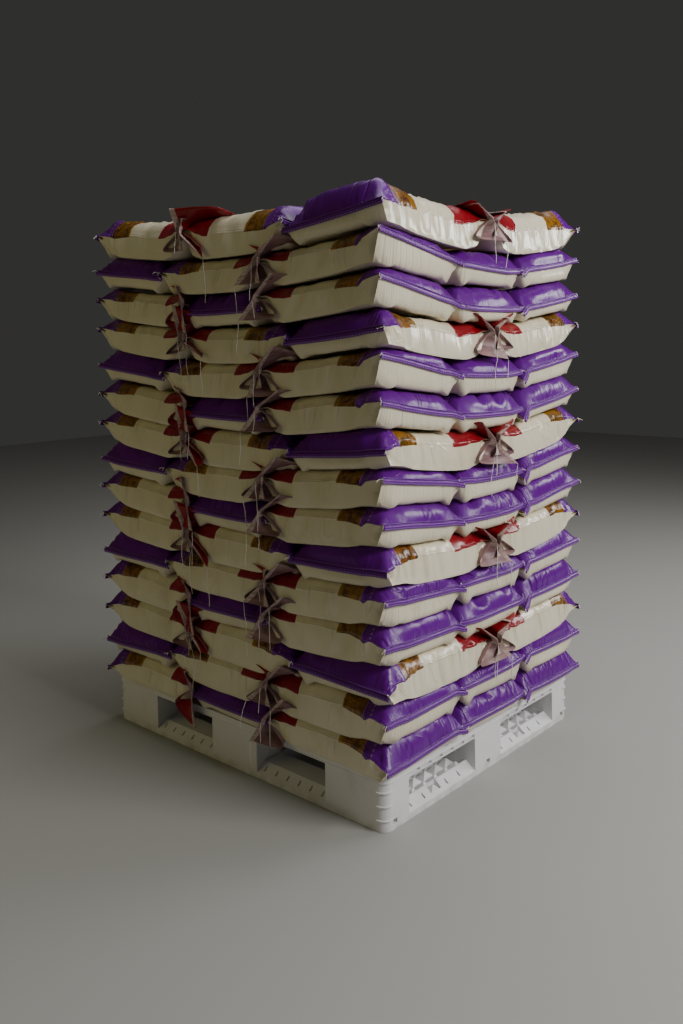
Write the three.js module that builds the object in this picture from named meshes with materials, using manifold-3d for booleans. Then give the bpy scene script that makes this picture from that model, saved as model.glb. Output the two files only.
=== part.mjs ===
// A loaded pallet: fifteen layers of eight filled sacks on a moulded plastic pallet.
// Millimetres, +Z up. The origin is the middle of the pallet's underside.
// The long side of the pallet runs along X and the short side along Y.

import * as THREE from "three";
import { mergeVertices } from "three/addons/utils/BufferGeometryUtils.js";
import Module from "manifold-3d";

const wasm = await Module();
wasm.setup();

// Pallet
const palletLength = 1200;
const palletWidth = 1000;
const palletHeight = 155;
const deckThickness = 22;
const railHeight = 42;
const deckOverhang = 3;
const deckCornerRadius = 30;
const middleBlock = { x: 203, y: 141 };
const pocket = { x: 280, y: 323 };
const rampDepth = 24;
const rampDrop = 16;
const deckSlot = { x: 70, y: 16 };
const deckSlotColumns = [-310, -172, 172, 310];
const deckSlotRows = [-330, 0, 330];

// Sacks
const layerCount = 15;
const layerPitch = 104.5;
const layerGap = 0.3;
const sackWidth = 344;
const rowSackLength = 453;
const columnSackLength = 516;
const sideBulge = 2;
const flatHalfWidth = 151;
const seamHalfWidth = 170;
const seamThickness = 4;
const seamEdge = 6;
const seamDepth = 14;
const gableDepth = 56;
const mouthGableDepth = 84;
const mouthOverlap = 7;
const overfill = 16;
const sacksAcross = 3;

// Where the column of two crosswise sacks stands in each layer, from the bottom up:
// in the middle, at -X, at +X, and so on over again
const columnOrder = [0, -1, 1];

// Settling of the stack: all but its four corners stands lower, and more so higher up
const settleDrop = 50;
const settleHeight = 900;
const levelReach = 1.3;
const cornerReach = 2;
const slabMargin = 1.12;

const stackHalfX = rowSackLength + sackWidth / 2;
const stackHalfY = (sacksAcross * sackWidth) / 2;

// Meshes to solids and back

function solidOf(geometry) {
  const plain = geometry.clone();
  plain.deleteAttribute("normal");
  plain.deleteAttribute("uv");
  const merged = mergeVertices(plain, 1e-4);
  const mesh = new wasm.Mesh({
    numProp: 3,
    vertProperties: new Float32Array(merged.attributes.position.array),
    triVerts: new Uint32Array(merged.index.array),
  });
  return new wasm.Manifold(mesh);
}

function geometryOf(solid) {
  const mesh = solid.getMesh();
  const geometry = new THREE.BufferGeometry();
  geometry.setAttribute("position", new THREE.BufferAttribute(mesh.vertProperties, 3));
  geometry.setIndex(new THREE.BufferAttribute(mesh.triVerts, 1));
  geometry.computeVertexNormals();
  return geometry;
}

function block(low, high) {
  const geometry = new THREE.BoxGeometry(high[0] - low[0], high[1] - low[1], high[2] - low[2]);
  geometry.translate((low[0] + high[0]) / 2, (low[1] + high[1]) / 2, (low[2] + high[2]) / 2);
  return solidOf(geometry);
}

// Pallet: a deck with a thin rim, nine blocks and a base of rails around four windows

function roundedSlab(length, width, radius, bottom, height) {
  const shape = new THREE.Shape();
  const x = length / 2 - radius;
  const y = width / 2 - radius;
  shape.absarc(x, y, radius, 0, Math.PI / 2, false);
  shape.absarc(-x, y, radius, Math.PI / 2, Math.PI, false);
  shape.absarc(-x, -y, radius, Math.PI, 1.5 * Math.PI, false);
  shape.absarc(x, -y, radius, 1.5 * Math.PI, 2 * Math.PI, false);
  const geometry = new THREE.ExtrudeGeometry(shape, { depth: height, bevelEnabled: false, curveSegments: 5 });
  geometry.translate(0, 0, bottom);
  return solidOf(geometry);
}

// The ramp that leads a truck's wheels over a rail: a wedge off the rail's outer top edge,
// run across a pocket between two ends, on the face that `turn` points to.
function rampCut(faceDistance, from, to, turn) {
  const shape = new THREE.Shape();
  const outer = faceDistance + 1;
  shape.moveTo(faceDistance - rampDepth, railHeight);
  shape.lineTo(outer, railHeight - rampDrop * (1 + 1 / rampDepth));
  shape.lineTo(outer, railHeight + 1);
  shape.lineTo(faceDistance - rampDepth, railHeight + 1);
  shape.closePath();
  const geometry = new THREE.ExtrudeGeometry(shape, { depth: to - from, bevelEnabled: false });
  geometry.rotateX(Math.PI / 2);
  geometry.translate(0, to, 0);
  geometry.rotateZ(turn);
  return solidOf(geometry);
}

function makePallet() {
  const deckUnderside = palletHeight - deckThickness;
  const bodyLength = palletLength - 2 * deckOverhang;
  const bodyWidth = palletWidth - 2 * deckOverhang;
  const bodyRadius = deckCornerRadius - deckOverhang;
  const pocketX = [middleBlock.x / 2, middleBlock.x / 2 + pocket.x];
  const pocketY = [middleBlock.y / 2, middleBlock.y / 2 + pocket.y];
  const past = palletLength;
  let pallet = roundedSlab(bodyLength, bodyWidth, bodyRadius, 0, deckUnderside + 1);
  pallet = pallet.add(roundedSlab(palletLength, palletWidth, deckCornerRadius, deckUnderside, deckThickness));
  for (const side of [-1, 1]) {
    const x = side < 0 ? [-pocketX[1], -pocketX[0]] : pocketX;
    const y = side < 0 ? [-pocketY[1], -pocketY[0]] : pocketY;
    pallet = pallet.subtract(block([-past, y[0], railHeight], [past, y[1], deckUnderside]));
    pallet = pallet.subtract(block([x[0], -past, railHeight], [x[1], past, deckUnderside]));
    pallet = pallet.subtract(block([x[0], pocketY[0], -1], [x[1], pocketY[1], railHeight + 1]));
    pallet = pallet.subtract(block([x[0], -pocketY[1], -1], [x[1], -pocketY[0], railHeight + 1]));
    for (const turn of [0, Math.PI]) {
      pallet = pallet.subtract(rampCut(bodyLength / 2, y[0], y[1], turn));
      pallet = pallet.subtract(rampCut(bodyWidth / 2, x[0], x[1], turn + Math.PI / 2));
    }
  }
  for (const x of deckSlotColumns) {
    for (const y of deckSlotRows) {
      const low = [x - deckSlot.x / 2, y - deckSlot.y / 2, deckUnderside - 1];
      const high = [x + deckSlot.x / 2, y + deckSlot.y / 2, palletHeight + 1];
      pallet = pallet.subtract(block(low, high));
    }
  }
  return geometryOf(pallet);
}

// Sack: a pillow with a sewn seam across each end, lofted from one six-sided ring to the next

function loftGeometry(rings) {
  const sides = rings[0].length;
  const positions = rings.flat(2);
  const index = [];
  for (let ring = 0; ring + 1 < rings.length; ring += 1) {
    for (let side = 0; side < sides; side += 1) {
      const a = ring * sides + side;
      const b = ring * sides + ((side + 1) % sides);
      index.push(a, b + sides, b, a, a + sides, b + sides);
    }
  }
  const last = (rings.length - 1) * sides;
  for (let side = 1; side + 1 < sides; side += 1) {
    index.push(0, side, side + 1);
    index.push(last, last + side + 1, last + side);
  }
  const geometry = new THREE.BufferGeometry();
  geometry.setAttribute("position", new THREE.Float32BufferAttribute(positions, 3));
  geometry.setIndex(index);
  return geometry;
}

function ring(x, sideHalfWidth, edgeHalfWidth, low, high) {
  const middle = (low + high) / 2;
  return [
    [x, -sideHalfWidth, middle],
    [x, -edgeHalfWidth, high],
    [x, edgeHalfWidth, high],
    [x, sideHalfWidth, middle],
    [x, edgeHalfWidth, low],
    [x, -edgeHalfWidth, low],
  ];
}

function seamRing(x) {
  const low = (layerPitch - seamThickness) / 2;
  return ring(x, seamHalfWidth, seamHalfWidth - seamEdge, low, low + seamThickness);
}

function bodyRing(x) {
  return ring(x, sackWidth / 2 + sideBulge, flatHalfWidth, -overfill, layerPitch + overfill);
}

// The sack's length runs along +X from its outer seam. Its mouth seam laps what it meets.
function makeSack(length) {
  return loftGeometry([
    seamRing(0),
    seamRing(seamDepth),
    bodyRing(gableDepth),
    bodyRing(length - mouthGableDepth),
    seamRing(length + mouthOverlap),
  ]);
}

// Where each sack of a layer has the middle of its outer seam, and which way its length points.
// A column of two sacks lies across the rows of three: at +X, at -X or in the middle.
function sackPlaces(columnCentre) {
  const places = [];
  for (let row = 0; row < sacksAcross; row += 1) {
    const y = (row - (sacksAcross - 1) / 2) * sackWidth;
    const near = columnCentre - sackWidth / 2;
    const far = columnCentre + sackWidth / 2;
    if (near > -stackHalfX) places.push({ x: -stackHalfX, y, turn: 0, length: rowSackLength });
    if (far < stackHalfX) places.push({ x: stackHalfX, y, turn: Math.PI, length: rowSackLength });
    if (columnCentre > 0) places.push({ x: near, y, turn: Math.PI, length: rowSackLength });
    if (columnCentre < 0) places.push({ x: far, y, turn: 0, length: rowSackLength });
  }
  places.push({ x: columnCentre, y: -stackHalfY, turn: Math.PI / 2, length: columnSackLength });
  places.push({ x: columnCentre, y: stackHalfY, turn: -Math.PI / 2, length: columnSackLength });
  return places;
}

// How far a point of the stack stands below its unsettled height
function settling(x, y, height) {
  const reach = Math.abs(x) / stackHalfX + Math.abs(y) / stackHalfY;
  const lift = Math.max(0, (reach - levelReach) / (cornerReach - levelReach));
  const drop = settleDrop * Math.min((height - palletHeight) / settleHeight, 1);
  return drop * (1 - lift);
}

// The space that a layer keeps to, between two settled surfaces: level in the middle,
// with a fold across each corner, from which it rises to the corner.
function layerSlab(bottom, top) {
  const outline = [];
  const halfX = stackHalfX * slabMargin;
  const halfY = stackHalfY * slabMargin;
  const foldX = stackHalfX * (levelReach - slabMargin);
  const foldY = stackHalfY * (levelReach - slabMargin);
  for (const [sx, sy] of [[1, 1], [-1, 1], [-1, -1], [1, -1]]) {
    const onX = [sx * halfX, sy * foldY];
    const corner = [sx * halfX, sy * halfY];
    const onY = [sx * foldX, sy * halfY];
    outline.push(...(sx * sy > 0 ? [onX, corner, onY] : [onY, corner, onX]));
  }
  const count = outline.length;
  const positions = [];
  for (const height of [bottom, top]) {
    for (const [x, y] of outline) positions.push(x, y, height - settling(x, y, height));
    positions.push(0, 0, height - settling(0, 0, height));
  }
  const index = [];
  const upper = count + 1;
  for (let i = 0; i < count; i += 1) {
    const next = (i + 1) % count;
    index.push(i, next, next + upper, i, next + upper, i + upper);
  }
  for (let corner = 1; corner < count; corner += 3) {
    const before = corner - 1;
    const after = corner + 1;
    const following = (corner + 2) % count;
    for (const [a, b, c] of [[before, corner, after], [count, before, after], [count, after, following]]) {
      index.push(a, c, b);
      index.push(a + upper, b + upper, c + upper);
    }
  }
  const geometry = new THREE.BufferGeometry();
  geometry.setAttribute("position", new THREE.Float32BufferAttribute(positions, 3));
  geometry.setIndex(index);
  return solidOf(geometry);
}

// One layer: eight sacks that press on each other at mid height, with the gaps between them
// open above and below, cut to the layer's own space.
function makeLayer(layer) {
  const bottom = palletHeight + layer * layerPitch;
  const top = bottom + layerPitch;
  const columnCentre = columnOrder[layer % columnOrder.length] * rowSackLength;
  let solid = null;
  for (const place of sackPlaces(columnCentre)) {
    const geometry = makeSack(place.length);
    geometry.rotateZ(place.turn);
    geometry.translate(place.x, place.y, bottom);
    const points = geometry.attributes.position;
    for (let i = 0; i < points.count; i += 1) {
      const drop = settling(points.getX(i), points.getY(i), bottom + layerPitch / 2);
      points.setZ(i, points.getZ(i) - drop);
    }
    const sack = solidOf(geometry);
    solid = solid === null ? sack : solid.add(sack);
  }
  return geometryOf(solid.intersect(layerSlab(bottom + layerGap, top)));
}

// The loaded pallet

const palletPlastic = new THREE.MeshStandardMaterial({ color: 0xd9d6d8, roughness: 0.45, metalness: 0 });
const sackFilm = new THREE.MeshStandardMaterial({ color: 0xcfc5ae, roughness: 0.35, metalness: 0 });

function named(name, geometry, material) {
  const mesh = new THREE.Mesh(geometry, material.clone());
  mesh.name = name;
  return mesh;
}

const loadedPallet = new THREE.Group();
loadedPallet.add(named("pallet", makePallet(), palletPlastic));
for (let layer = 0; layer < layerCount; layer += 1) {
  const number = String(layer + 1).padStart(2, "0");
  loadedPallet.add(named(`sack_layer_${number}`, makeLayer(layer), sackFilm));
}

export default loadedPallet;
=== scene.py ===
import math

import bmesh
import bpy
import numpy as np
from mathutils import Matrix, Vector


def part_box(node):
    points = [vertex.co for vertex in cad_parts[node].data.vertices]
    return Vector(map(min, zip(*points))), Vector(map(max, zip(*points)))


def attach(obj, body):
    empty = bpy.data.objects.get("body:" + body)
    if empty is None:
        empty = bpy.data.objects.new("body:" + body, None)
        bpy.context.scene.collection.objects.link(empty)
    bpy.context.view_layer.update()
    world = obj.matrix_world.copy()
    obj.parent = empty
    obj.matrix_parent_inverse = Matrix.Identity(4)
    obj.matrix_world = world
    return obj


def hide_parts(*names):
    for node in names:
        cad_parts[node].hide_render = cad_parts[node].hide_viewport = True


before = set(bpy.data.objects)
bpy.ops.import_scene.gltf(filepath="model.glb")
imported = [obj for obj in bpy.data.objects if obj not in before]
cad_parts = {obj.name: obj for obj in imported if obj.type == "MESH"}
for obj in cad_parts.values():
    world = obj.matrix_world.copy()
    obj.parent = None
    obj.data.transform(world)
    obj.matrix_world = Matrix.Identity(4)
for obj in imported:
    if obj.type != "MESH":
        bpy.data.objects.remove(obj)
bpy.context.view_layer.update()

# Pallet
# One injection-moulded plastic pallet: a deck with a thin rim on nine blocks, tied at the
# floor by rails that slope up from the outside, with rows of pyramids behind the end rails.

PALLET_LENGTH, PALLET_WIDTH = 1.200, 1.000
PALLET_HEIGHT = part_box("pallet")[1][2]
DECK_THICKNESS = 0.022
RIM = 0.003
LIP_PROUD, LIP_HEIGHT = 0.001, 0.0035
CORNER_RADIUS = 0.030
CORNER_RIBS = (0.030, 0.068, 0.106)
CORNER_RIB_HEIGHT = 0.003
RAIL_HEIGHT = 0.042
MIDDLE_BLOCK = (0.203, 0.141)
POCKET = (0.280, 0.323)
EDGE_ROUNDING = 0.0016
RAMP_DEPTH = 0.032
RAMP_FOOT = 0.018
RAMP_SLOT = (0.006, 0.014)
END_RAMP_SLOTS = (0.07, 0.26, 0.60, 0.79)
SIDE_RAMP_SLOTS = 6
NOTCH_AT = 0.43
NOTCH_WIDTH, NOTCH_DEPTH = 0.048, 0.022
NOTCH_PYRAMID = (0.012, 0.023)
PYRAMIDS = (5, 6)
PYRAMID_FLOOR = 0.021
PYRAMID_TIP = 0.004
DRAIN_HOLE_ROWS = (-0.455, 0.0, 0.455)
DRAIN_HOLE_WIDTH, DRAIN_HOLE_DEPTH = 0.018, 0.020
DRAIN_HOLE_FOOT, DRAIN_HOLE_TOP = 0.016, 0.029
STRIP_HEIGHT = 0.0135
STRIP_CELLS = 6
STRIP_WALL = 0.004
STRIP_BACK = (0.014, 0.010)
STRIP_DEPTH = (0.0135, 0.0008)
STRIP_FLANGE = 0.0028
STRIP_END_DROP = 0.008
DECK_SLOT = (0.070, 0.016)
DECK_SLOT_COLUMNS = (-0.310, -0.172, 0.172, 0.310)
DECK_SLOT_ROWS = (-0.330, 0.0, 0.330)
OVERLAP = 0.001


def box_shell(low, high):
    """A closed box between two corners."""
    points = [(x, y, z) for x in (low[0], high[0]) for y in (low[1], high[1]) for z in (low[2], high[2])]
    faces = [(0, 1, 3, 2), (4, 6, 7, 5), (0, 4, 5, 1), (2, 3, 7, 6), (0, 2, 6, 4), (1, 5, 7, 3)]
    return points, faces


def prism_shell(outline, low, high, axis):
    """A closed prism: an outline of two coordinates, pushed from `low` to `high` along `axis`."""
    count = len(outline)
    points = []
    for level in (low, high):
        for a, b in outline:
            point = [a, b]
            point.insert(axis, level)
            points.append(tuple(point))
    faces = [(i, (i + 1) % count, (i + 1) % count + count, i + count) for i in range(count)]
    faces.append(tuple(range(count))[::-1])
    faces.append(tuple(range(count, 2 * count)))
    return points, faces


def rounded_outline(length, width, radius, steps=6):
    """A rectangle about the origin with round corners."""
    outline = []
    for quarter, (sx, sy) in enumerate([(1, 1), (-1, 1), (-1, -1), (1, -1)]):
        for step in range(steps + 1):
            angle = (quarter + step / steps) * math.pi / 2
            x = sx * (length / 2 - radius) + radius * math.cos(angle)
            y = sy * (width / 2 - radius) + radius * math.sin(angle)
            outline.append((x, y))
    return outline


def shells_object(name, shells):
    """One object made of closed shells, with their faces turned outwards."""
    points, faces = [], []
    for shell_points, shell_faces in shells:
        faces += [tuple(i + len(points) for i in face) for face in shell_faces]
        points += shell_points
    mesh = bpy.data.meshes.new(name)
    mesh.from_pydata(points, [], faces)
    work = bmesh.new()
    work.from_mesh(mesh)
    bmesh.ops.recalc_face_normals(work, faces=work.faces)
    work.to_mesh(mesh)
    work.free()
    piece = bpy.data.objects.new(name, mesh)
    bpy.context.scene.collection.objects.link(piece)
    return piece


def apply_modifiers(piece):
    """Turns what a piece's modifiers make into its own mesh."""
    graph = bpy.context.evaluated_depsgraph_get()
    mesh = bpy.data.meshes.new_from_object(piece.evaluated_get(graph))
    piece.modifiers.clear()
    piece.data = mesh


def carve(piece, shells, operation="DIFFERENCE"):
    """Cuts shells out of a piece, or joins them to it."""
    tool = shells_object("tool", shells)
    cut = piece.modifiers.new("cut", "BOOLEAN")
    cut.operation = operation
    cut.solver = "MANIFOLD"
    cut.object = tool
    apply_modifiers(piece)
    bpy.data.objects.remove(tool)


def turned(shell, quarter):
    """A shell turned about Z by quarters of a turn."""
    turn = Matrix.Rotation(quarter * math.pi / 2, 3, "Z")
    return [tuple(turn @ Vector(point)) for point in shell[0]], shell[1]


def span(side, near, far):
    """From `near` to `far` on one side of the middle, the lower value first."""
    return sorted((side * near, side * far))


deck_underside = PALLET_HEIGHT - DECK_THICKNESS
body_length, body_width = PALLET_LENGTH - 2 * RIM, PALLET_WIDTH - 2 * RIM
pocket_x = (MIDDLE_BLOCK[0] / 2, MIDDLE_BLOCK[0] / 2 + POCKET[0])
pocket_y = (MIDDLE_BLOCK[1] / 2, MIDDLE_BLOCK[1] / 2 + POCKET[1])
end_openings = (pocket_y, (-pocket_y[1], -pocket_y[0]))
past = PALLET_LENGTH

body_outline = rounded_outline(body_length, body_width, CORNER_RADIUS - RIM)
deck_outline = rounded_outline(PALLET_LENGTH, PALLET_WIDTH, CORNER_RADIUS)
lip_outline = rounded_outline(PALLET_LENGTH + 2 * LIP_PROUD, PALLET_WIDTH + 2 * LIP_PROUD, CORNER_RADIUS)
pallet = shells_object("pallet_moulding", [prism_shell(body_outline, 0, deck_underside + OVERLAP, 2)])
carve(pallet, [prism_shell(deck_outline, deck_underside, PALLET_HEIGHT, 2)], "UNION")
carve(pallet, [prism_shell(lip_outline, deck_underside, deck_underside + LIP_HEIGHT, 2)], "UNION")

# Ribs round the four corners, made as rings and then cut off along the straight sides
corner_ribs = []
for height in CORNER_RIBS:
    corner_ribs.append(prism_shell(lip_outline, height, height + CORNER_RIB_HEIGHT, 2))
carve(pallet, corner_ribs, "UNION")
rib_trim = []
trim_foot, trim_top = CORNER_RIBS[0] - 0.01, CORNER_RIBS[-1] + 0.014
straight_x, straight_y = body_length / 2 - CORNER_RADIUS, body_width / 2 - CORNER_RADIUS
for side in (-1, 1):
    inner, outer = span(side, body_width / 2, past)
    rib_trim.append(box_shell((-straight_x, inner, trim_foot), (straight_x, outer, trim_top)))
    inner, outer = span(side, body_length / 2, past)
    rib_trim.append(box_shell((inner, -straight_y, trim_foot), (outer, straight_y, trim_top)))
carve(pallet, rib_trim)

# Fork pockets through both ways, and the base windows under where they cross
for side in (-1, 1):
    near_y, far_y = span(side, *pocket_y)
    near_x, far_x = span(side, *pocket_x)
    carve(pallet, [box_shell((-past, near_y, RAIL_HEIGHT), (past, far_y, deck_underside))])
    carve(pallet, [box_shell((near_x, -past, RAIL_HEIGHT), (far_x, past, deck_underside))])
    windows = []
    for low_y, high_y in end_openings[::-1]:
        windows.append(box_shell((near_x, low_y, -0.01), (far_x, high_y, RAIL_HEIGHT + OVERLAP)))
    carve(pallet, windows)

soften = pallet.modifiers.new("soften", "BEVEL")
soften.width = EDGE_ROUNDING
soften.segments = 2
soften.limit_method = "ANGLE"
soften.angle_limit = math.radians(35)
apply_modifiers(pallet)

# Ramps, each a wedge off a rail's outer top edge, with a row of small slots through it
for quarter in range(4):
    along_x = quarter % 2 == 0
    face = (body_length if along_x else body_width) / 2
    spans = [pocket_y if along_x else pocket_x]
    spans.append((-spans[0][1], -spans[0][0]))
    beyond = 0.01
    wedge = [
        (face - RAMP_DEPTH, RAIL_HEIGHT),
        (face + beyond, RAMP_FOOT - (RAIL_HEIGHT - RAMP_FOOT) * beyond / RAMP_DEPTH),
        (face + beyond, RAIL_HEIGHT + beyond),
        (face - RAMP_DEPTH, RAIL_HEIGHT + beyond),
    ]
    ramps, slots = [], []
    shares = END_RAMP_SLOTS
    if not along_x:
        shares = [(number + 0.5) / SIDE_RAMP_SLOTS for number in range(SIDE_RAMP_SLOTS)]
    where = face - RAMP_DEPTH * 0.5
    for low, high in spans:
        ramps.append(turned(prism_shell(wedge, low, high, 1), quarter))
        for share in shares:
            at = low + (high - low) * (share if quarter < 2 else 1 - share)
            slot_low = (where - RAMP_SLOT[1] / 2, at - RAMP_SLOT[0] / 2, 0.004)
            slot_high = (where + RAMP_SLOT[1] / 2, at + RAMP_SLOT[0] / 2, 0.06)
            slots.append(turned(box_shell(slot_low, slot_high), quarter))
    carve(pallet, ramps)
    carve(pallet, slots)


def pyramid_shell(x, y, half_x, half_y, floor, top):
    """A pyramid with a small flat tip."""
    base = [(-1, -1), (1, -1), (1, 1), (-1, 1)]
    points = [(x + a * half_x, y + b * half_y, floor) for a, b in base]
    points += [(x + a * PYRAMID_TIP / 2, y + b * PYRAMID_TIP / 2, top) for a, b in base]
    faces = [(0, 1, 5, 4), (1, 2, 6, 5), (2, 3, 7, 6), (3, 0, 4, 7), (3, 2, 1, 0), (4, 5, 6, 7)]
    return points, faces


# Pyramids over the end rails, inside the ramps, and one in a notch in each ramp
pits, pyramids = [], []
ramp_top = body_length / 2 - RAMP_DEPTH
pit_edge = 0.002
for side in (-1, 1):
    for low, high in end_openings:
        inner, outer = pocket_x[1], ramp_top - 0.003
        near_x, far_x = span(side, inner - OVERLAP, outer)
        pit_high = (far_x, high - pit_edge, RAIL_HEIGHT + OVERLAP)
        pits.append(box_shell((near_x, low + pit_edge, PYRAMID_FLOOR), pit_high))
        step_x, step_y = (outer - inner) / PYRAMIDS[0], (high - low - 2 * pit_edge) / PYRAMIDS[1]
        floor, top = PYRAMID_FLOOR - 0.002, RAIL_HEIGHT - 0.003
        for row in range(PYRAMIDS[0]):
            x = side * (inner + (row + 0.5) * step_x)
            for column in range(PYRAMIDS[1]):
                y = low + pit_edge + (column + 0.5) * step_y
                pyramids.append(pyramid_shell(x, y, step_x * 0.49, step_y * 0.49, floor, top))
        y = low + (high - low) * (NOTCH_AT if side > 0 else 1 - NOTCH_AT)
        near_x, far_x = span(side, ramp_top - 0.004, ramp_top + NOTCH_DEPTH)
        notch_high = (far_x, y + NOTCH_WIDTH / 2, RAIL_HEIGHT + OVERLAP)
        pits.append(box_shell((near_x, y - NOTCH_WIDTH / 2, 0.020), notch_high))
        x, top = side * (ramp_top + 0.009), RAIL_HEIGHT - 0.004
        pyramids.append(pyramid_shell(x, y, *NOTCH_PYRAMID, 0.019, top))
carve(pallet, pits)
carve(pallet, pyramids, "UNION")

# Small square drain hole low on each block of the ends, and slots through the deck
drain_holes = []
for side in (-1, 1):
    inner, outer = span(side, body_length / 2 - DRAIN_HOLE_DEPTH, past)
    for y in DRAIN_HOLE_ROWS:
        low_y, high_y = y - DRAIN_HOLE_WIDTH / 2, y + DRAIN_HOLE_WIDTH / 2
        drain_holes.append(box_shell((inner, low_y, DRAIN_HOLE_FOOT), (outer, high_y, DRAIN_HOLE_TOP)))
carve(pallet, drain_holes)
deck_slots = []
for x in DECK_SLOT_COLUMNS:
    for y in DECK_SLOT_ROWS:
        low = (x - DECK_SLOT[0] / 2, y - DECK_SLOT[1] / 2, deck_underside - 0.01)
        high = (x + DECK_SLOT[0] / 2, y + DECK_SLOT[1] / 2, PALLET_HEIGHT + 0.01)
        deck_slots.append(box_shell(low, high))
carve(pallet, deck_slots)

# Row of small cells under the rim across the top of each end opening
backs, ribs, flanges = [], [], []
face, foot, joined = body_length / 2, deck_underside - STRIP_HEIGHT, deck_underside + OVERLAP
for side in (-1, 1):
    for low, high in end_openings:
        near_x, far_x = span(side, face - STRIP_BACK[0], face - STRIP_BACK[1])
        backs.append(box_shell((near_x, low - OVERLAP, foot), (far_x, high + OVERLAP, joined)))
        near_x, far_x = span(side, face - STRIP_DEPTH[0], face - STRIP_DEPTH[1])
        flange_high = (far_x, high + OVERLAP, foot + 0.0005)
        flanges.append(box_shell((near_x, low - OVERLAP, foot - STRIP_FLANGE), flange_high))
        for number in range(STRIP_CELLS + 1):
            at = low + (high - low) * number / STRIP_CELLS
            hang = foot - (STRIP_END_DROP if number in (0, STRIP_CELLS) else 0.0)
            ribs.append(box_shell((near_x, at - STRIP_WALL / 2, hang), (far_x, at + STRIP_WALL / 2, joined)))
carve(pallet, backs, "UNION")
carve(pallet, ribs, "UNION")
carve(pallet, flanges, "UNION")

# Flat faces shade flat up to their rounded edges
for polygon in pallet.data.polygons:
    polygon.use_smooth = True
pallet.data.set_sharp_from_angle(angle=math.radians(32))
flatten = pallet.modifiers.new("flatten", "WEIGHTED_NORMAL")
flatten.weight = 100
flatten.keep_sharp = True
apply_modifiers(pallet)


class Signal:
    """A value inside a material that can be used in sums."""

    def __init__(self, finish, socket):
        self.finish = finish
        self.socket = socket

    def sum(self, operation, *values, clamp=False):
        """What an operation gives for two values, or for one."""
        settings = {"operation": operation, "use_clamp": clamp}
        return self.finish.node("ShaderNodeMath", settings, dict(enumerate(values)))

    def __add__(self, other):
        return self.sum("ADD", self, other)

    __radd__ = __add__

    def __sub__(self, other):
        return self.sum("SUBTRACT", self, other)

    def __rsub__(self, other):
        return self.sum("SUBTRACT", other, self)

    def __mul__(self, other):
        return self.sum("MULTIPLY", self, other)

    __rmul__ = __mul__

    def __abs__(self):
        return self.sum("ABSOLUTE", self)

    def __gt__(self, other):
        return self.sum("GREATER_THAN", self, other)

    def __lt__(self, other):
        return self.sum("LESS_THAN", self, other)

    def power(self, exponent):
        return self.sum("POWER", self, exponent)

    def held(self):
        """The value, kept between 0 and 1."""
        return self.sum("ADD", self, 0.0, clamp=True)

    def rise(self, low, high):
        """Smoothly 0 at `low` to 1 at `high`."""
        settings = {"interpolation_type": "SMOOTHSTEP"}
        return self.finish.node("ShaderNodeMapRange", settings, {"Value": self, 1: low, 2: high})


class Finish:
    """One material, built up node by node."""

    def __init__(self, name):
        self.material = bpy.data.materials.new(name)
        self.material.use_nodes = True
        self.tree = self.material.node_tree
        self.surface = self.tree.nodes["Principled BSDF"]

    def plug(self, socket, value):
        """Links a signal to a socket, or sets the socket's own value."""
        if isinstance(value, Signal):
            self.tree.links.new(value.socket, socket)
        else:
            socket.default_value = value

    def node(self, kind, settings=None, values=None, output=0):
        """Adds a node: its settings first, then its sockets' values or links."""
        node = self.tree.nodes.new(kind)
        for name, value in (settings or {}).items():
            setattr(node, name, value)
        for name, value in (values or {}).items():
            self.plug(node.inputs[name], value)
        return Signal(self, node.outputs[output])

    def mix(self, share, first, second):
        """A colour `share` of the way from the first to the second."""
        settings = {"data_type": "RGBA"}
        return self.node("ShaderNodeMix", settings, {0: share, 6: first, 7: second}, output=2)

    def noise(self, where, scale, detail=2.0, roughness=0.5, distortion=0.0):
        """Soft random patches, of about 1 / `scale` in size."""
        values = {"Vector": where, "Scale": scale, "Detail": detail}
        values.update({"Roughness": roughness, "Distortion": distortion})
        return self.node("ShaderNodeTexNoise", {}, values)

    def bump(self, height, distance, strength=1.0, below=None):
        """The surface's tilt for a relief `height`, over another one if that is given."""
        values = {"Height": height, "Distance": distance, "Strength": strength}
        if below is not None:
            values["Normal"] = below
        return self.node("ShaderNodeBump", {}, values)

    def set(self, **values):
        """Plugs values into the surface's sockets, whose names have spaces for underscores."""
        for name, value in values.items():
            self.plug(self.surface.inputs[name.replace("_", " ")], value)


def srgb(red, green, blue):
    """A display colour of 0 to 255 as Blender's linear colour."""
    levels = [value / 255 for value in (red, green, blue)]
    linear = [v / 12.92 if v <= 0.04045 else ((v + 0.055) / 1.055) ** 2.4 for v in levels]
    return (*linear, 1.0)


plastic = Finish("pallet_plastic")
place = plastic.node("ShaderNodeTexCoord", output=3)
scuffs = plastic.noise(place, 9.0, 5.0, 0.62).rise(0.52, 0.75)
speckle = plastic.noise(place, 160.0, 3.0, 0.6).rise(0.55, 0.8)
grime = (scuffs * 0.35 + speckle * 0.12).held()
height_up = plastic.node("ShaderNodeSeparateXYZ", values={0: place}, output=2)
foot_dirt = (1 - height_up.rise(0.0, 0.035)) * plastic.noise(place, 22.0, 4.0).rise(0.35, 0.7)
clean = plastic.mix(grime, srgb(226, 224, 226), srgb(196, 192, 188))
plastic_colour = plastic.mix(foot_dirt * 0.35, clean, srgb(128, 122, 114))
grain = plastic.noise(place, 420.0, 2.0)
plastic.set(
    Base_Color=plastic_colour,
    Roughness=(0.36 + grime * 0.5).held(),
    Normal=plastic.bump(grain, 0.0003, 0.35),
)
pallet.data.materials.clear()
pallet.data.materials.append(plastic.material)
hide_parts("pallet")
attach(pallet, "root")

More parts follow.
